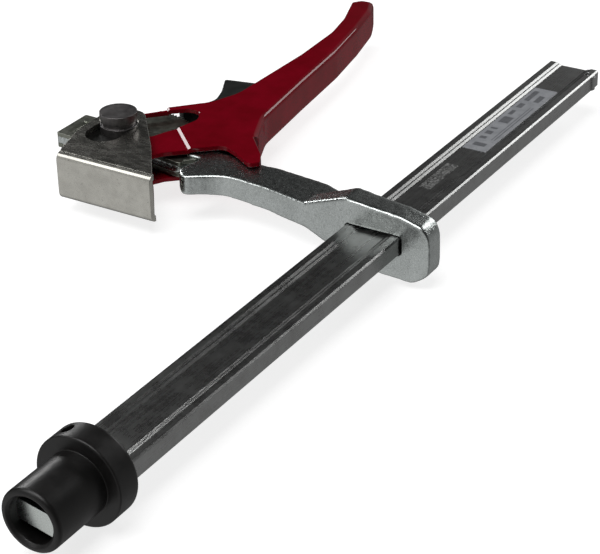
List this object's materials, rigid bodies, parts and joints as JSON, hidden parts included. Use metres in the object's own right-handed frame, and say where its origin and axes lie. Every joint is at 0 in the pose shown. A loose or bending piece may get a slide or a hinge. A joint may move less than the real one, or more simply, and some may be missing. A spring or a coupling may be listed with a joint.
{
  "type": "lever table clamp",
  "caption": "Sliding-arm lever clamp with a round table pin: a profiled rail, a forged arm, a swinging ratchet lever with release, and a flat pressure pad that a cam drives.",
  "frame": {"origin": "on the axis of the table pin, at the collar shoulder that rests on the table", "axes": "+X from the table pin along the rail to its free end, +Y from the rail out to the pressure pad, +Z square to the broad face of the rail"},
  "size_m": [0.5016, 0.226, 0.04],
  "materials": {
    "rail_steel": "rolled, dark",
    "label_foil": "satin foil",
    "black_steel": "black oxide, satin",
    "screw_steel": "dark zinc",
    "forged_steel": "galvanised forging",
    "plate_steel": "hardened, oiled",
    "pin_steel": "dark oiled",
    "washer_brass": "satin",
    "pad_steel": "zinc plated",
    "red_enamel": "glossy crimson enamel",
    "spring_steel": "bright",
    "black_plastic": "satin"
  },
  "bodies": {
    "rail": {"rail": "rail_steel", "rail_label": "label_foil", "table_adapter": "black_steel", "adapter_screws": "screw_steel"},
    "arm": {"sliding_arm": "forged_steel", "ratchet_plates": "plate_steel", "plate_rivets": "screw_steel", "pivot_pin": "pin_steel", "pivot_collar": "pin_steel", "pivot_washers": "washer_brass", "slide_shims": "pin_steel"},
    "pad": {"pressure_pad": "pad_steel"},
    "lever": {"lever_shell": "red_enamel", "lever_spacer": "red_enamel", "pawl_pin": "red_enamel", "pawl_bush": "screw_steel", "pawl_spring": "spring_steel", "release_pin": "red_enamel", "release_washers": "screw_steel", "release_spring": "spring_steel"},
    "pawl": {"pawl": "plate_steel"},
    "trigger": {"release_trigger": "black_plastic"}
  },
  "joints": [
    {"name": "arm_slide", "type": "slide", "parent": "rail", "child": "arm", "axis": [1, 0, 0], "range_m": [-0.205, 0.195]},
    {"name": "lever_pivot", "type": "hinge", "parent": "arm", "child": "lever", "pos_m": [0.251, 0.162, 0], "axis": [0, 0, 1], "range_deg": [0, 90]},
    {"name": "pad_slide", "type": "slide", "parent": "arm", "child": "pad", "axis": [1, 0, 0], "range_m": [0, 0.012]},
    {"name": "release_turn", "type": "hinge", "parent": "lever", "child": "trigger", "pos_m": [0.311, 0.131, 0], "axis": [0, 0, -1], "range_deg": [0, 10], "stiffness_Nm_per_rad": 0.3},
    {"name": "pawl_turn", "type": "hinge", "parent": "lever", "child": "pawl", "pos_m": [0.292, 0.124, 0], "axis": [0, 0, 1], "range_deg": [0, 11.1]}
  ],
  "couplings": [
    {"joint": "pad_slide", "follows": "lever_pivot", "m_per_rad": 0.0076},
    {"joint": "pawl_turn", "follows": "release_turn", "ratio": 1.1}
  ]
}
